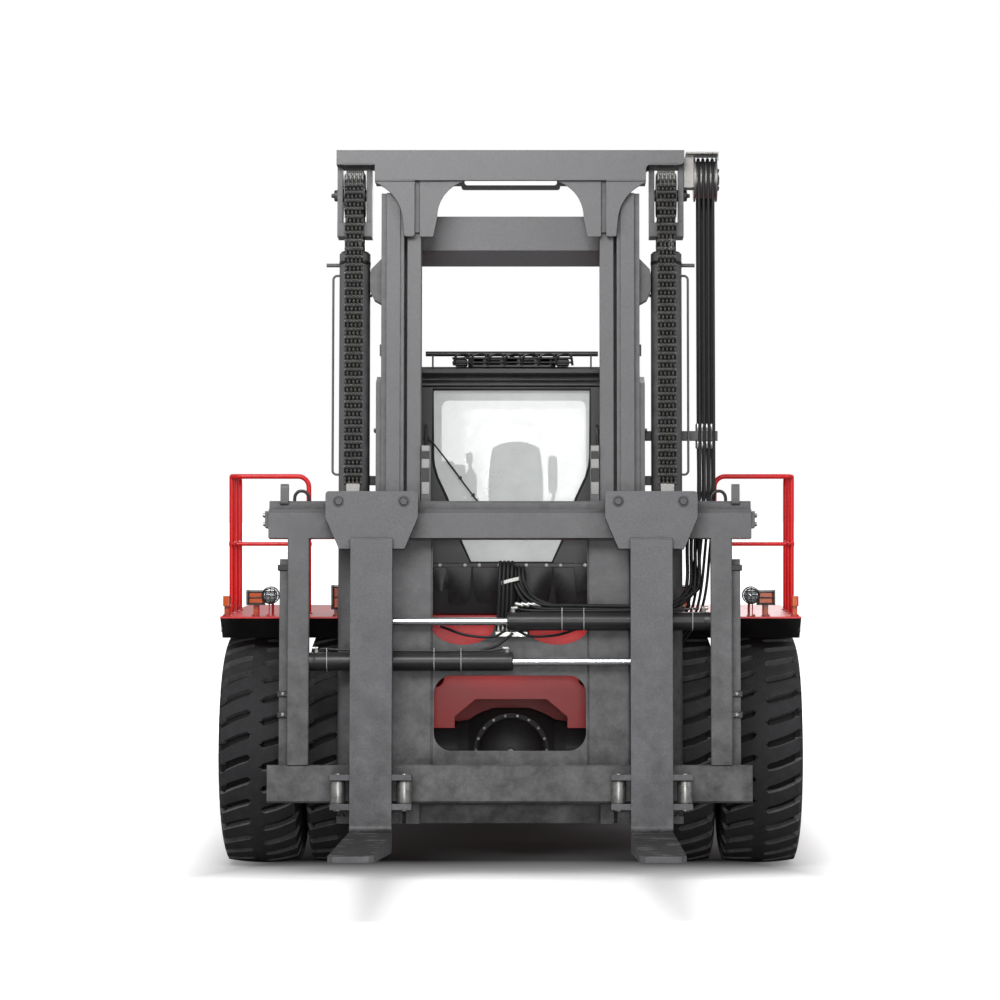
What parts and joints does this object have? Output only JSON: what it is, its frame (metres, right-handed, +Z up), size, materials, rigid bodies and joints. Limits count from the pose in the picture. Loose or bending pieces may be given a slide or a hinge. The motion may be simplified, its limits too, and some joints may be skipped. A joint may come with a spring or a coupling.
{
  "type": "counterbalance forklift truck",
  "caption": "Heavy counterbalance forklift with a two-stage mast, chain lift, hook-on forks on a positioner carriage, twin front tyres, steered rear wheels and a central cab.",
  "frame": {"origin": "on the ground under the middle of the truck, at the centre of its length with the forks", "axes": "+X to the driver's left, the forks point to -Y, +Z up"},
  "size_m": [4.0224, 10.1474, 4.9416],
  "materials": {
    "red_paint": "satin",
    "grey_paint": "satin",
    "black_paint": "satin",
    "tyre": "matte",
    "rim": "satin",
    "glass": "clear",
    "chrome_rod": "polished",
    "steel": "brushed",
    "cast": "rough",
    "hose": "matte",
    "seat": "woven",
    "plastic": "matte",
    "amber": "gloss"
  },
  "bodies": {
    "chassis": {"chassis_frame": "red_paint", "drive_axle": "cast", "steer_axle": "cast", "counterweight": "cast", "engine_block": "cast", "radiator_cowl": "black_paint", "fuel_tank": "black_paint", "hydraulic_tank": "black_paint", "platform_left": "red_paint", "platform_right": "red_paint", "railings": "red_paint", "access_steps": "red_paint", "cab_shell": "black_paint", "cab_glass": "glass", "driver_seat": "seat", "steering_column": "plastic", "control_console": "plastic", "head_lamps": "glass", "signal_lamps": "amber", "rubber_flaps": "hose", "exhaust_stack": "black_paint", "air_cleaner": "black_paint"},
    "engine_hood": {"engine_hood": "red_paint"},
    "outer_mast": {"outer_mast": "grey_paint", "lift_barrels": "grey_paint"},
    "inner_mast": {"inner_mast": "grey_paint", "lift_rods": "chrome_rod", "chain_sheaves": "steel", "hose_sheave": "steel", "lift_chains": "steel", "mast_hoses": "hose"},
    "carriage": {"carriage_frame": "grey_paint", "positioner_barrels": "black_paint"},
    "cab_door_left": {"cab_door_left": "black_paint", "door_glass_left": "glass"},
    "front_wheel_left": {"front_tyres_left": "tyre", "front_rims_left": "rim"},
    "steer_knuckle_left": {"steer_knuckle_left": "cast"},
    "rear_wheel_left": {"rear_tyre_left": "tyre", "rear_rim_left": "rim"},
    "fork_left": {"fork_left": "grey_paint", "positioner_rod_left": "chrome_rod"},
    "tilt_barrel_left": {"tilt_barrel_left": "grey_paint"},
    "tilt_rod_left": {"tilt_rod_left": "chrome_rod"},
    "cab_door_right": {"cab_door_right": "black_paint", "door_glass_right": "glass"},
    "front_wheel_right": {"front_tyres_right": "tyre", "front_rims_right": "rim"},
    "steer_knuckle_right": {"steer_knuckle_right": "cast"},
    "rear_wheel_right": {"rear_tyre_right": "tyre", "rear_rim_right": "rim"},
    "fork_right": {"fork_right": "grey_paint", "positioner_rod_right": "chrome_rod"},
    "tilt_barrel_right": {"tilt_barrel_right": "grey_paint"},
    "tilt_rod_right": {"tilt_rod_right": "chrome_rod"}
  },
  "joints": [
    {"name": "mast_tilt", "type": "hinge", "parent": "chassis", "child": "outer_mast", "pos_m": [0, -1.78704, 0.7], "axis": [1, 0, 0], "range_deg": [-5.5, 9.5]},
    {"name": "mast_lift", "type": "slide", "parent": "outer_mast", "child": "inner_mast", "axis": [0, 0.0785, 0.9969], "range_m": [0, 1.8], "deforming": ["lift_chains", "mast_hoses"]},
    {"name": "carriage_lift", "type": "slide", "parent": "inner_mast", "child": "carriage", "axis": [0, 0.0785, 0.9969], "range_m": [0, 1.8]},
    {"name": "fork_left_shift", "type": "slide", "parent": "carriage", "child": "fork_left", "axis": [1, 0, 0], "range_m": [-0.55, 0.24]},
    {"name": "front_wheel_left_spin", "type": "hinge", "parent": "chassis", "child": "front_wheel_left", "pos_m": [0, -1.22704, 0.8], "axis": [1, 0, 0], "continuous": true},
    {"name": "steer_left", "type": "hinge", "parent": "chassis", "child": "steer_knuckle_left", "pos_m": [0.92, 3.77296, 0.8], "axis": [0, 0, 1], "range_deg": [-60, 60]},
    {"name": "rear_wheel_left_spin", "type": "hinge", "parent": "steer_knuckle_left", "child": "rear_wheel_left", "pos_m": [0, 3.77296, 0.8], "axis": [1, 0, 0], "continuous": true},
    {"name": "cab_door_left_hinge", "type": "hinge", "parent": "chassis", "child": "cab_door_left", "pos_m": [0.735, -1.17304, 2.5], "axis": [0, 0, -1], "range_deg": [0, 85]},
    {"name": "tilt_barrel_left_hinge", "type": "hinge", "parent": "chassis", "child": "tilt_barrel_left", "pos_m": [0.56, -0.57704, 1.33], "axis": [1, 0, 0], "range_deg": [-3, 3]},
    {"name": "fork_right_shift", "type": "slide", "parent": "carriage", "child": "fork_right", "axis": [-1, 0, 0], "range_m": [-0.526, 0.264]},
    {"name": "front_wheel_right_spin", "type": "hinge", "parent": "chassis", "child": "front_wheel_right", "pos_m": [0, -1.22704, 0.8], "axis": [1, 0, 0], "continuous": true},
    {"name": "steer_right", "type": "hinge", "parent": "chassis", "child": "steer_knuckle_right", "pos_m": [-0.92, 3.77296, 0.8], "axis": [0, 0, 1], "range_deg": [-60, 60]},
    {"name": "rear_wheel_right_spin", "type": "hinge", "parent": "steer_knuckle_right", "child": "rear_wheel_right", "pos_m": [0, 3.77296, 0.8], "axis": [1, 0, 0], "continuous": true},
    {"name": "cab_door_right_hinge", "type": "hinge", "parent": "chassis", "child": "cab_door_right", "pos_m": [-0.735, -1.17304, 2.5], "axis": [0, 0, 1], "range_deg": [0, 85]},
    {"name": "tilt_barrel_right_hinge", "type": "hinge", "parent": "chassis", "child": "tilt_barrel_right", "pos_m": [-0.56, -0.57704, 1.33], "axis": [1, 0, 0], "range_deg": [-3, 3]},
    {"name": "tilt_rod_left_slide", "type": "slide", "parent": "tilt_barrel_left", "child": "tilt_rod_left", "axis": [0, -0.9926, 0.1218], "range_m": [-0.09, 0.14]},
    {"name": "tilt_rod_right_slide", "type": "slide", "parent": "tilt_barrel_right", "child": "tilt_rod_right", "axis": [0, -0.9926, 0.1218], "range_m": [-0.09, 0.14]},
    {"name": "engine_hood_hinge", "type": "hinge", "parent": "chassis", "child": "engine_hood", "pos_m": [0, 2.51796, 2.42], "axis": [-1, 0, 0], "range_deg": [0, 50]}
  ],
  "couplings": [
    {"joint": "carriage_lift", "follows": "mast_lift", "ratio": 1},
    {"joint": "steer_right", "follows": "steer_left", "ratio": 1},
    {"joint": "tilt_barrel_left_hinge", "follows": "mast_tilt", "ratio": 0.1527},
    {"joint": "tilt_rod_left_slide", "follows": "mast_tilt", "m_per_rad": 0.7656},
    {"joint": "tilt_barrel_right_hinge", "follows": "mast_tilt", "ratio": 0.1527},
    {"joint": "tilt_rod_right_slide", "follows": "mast_tilt", "m_per_rad": 0.7656}
  ]
}
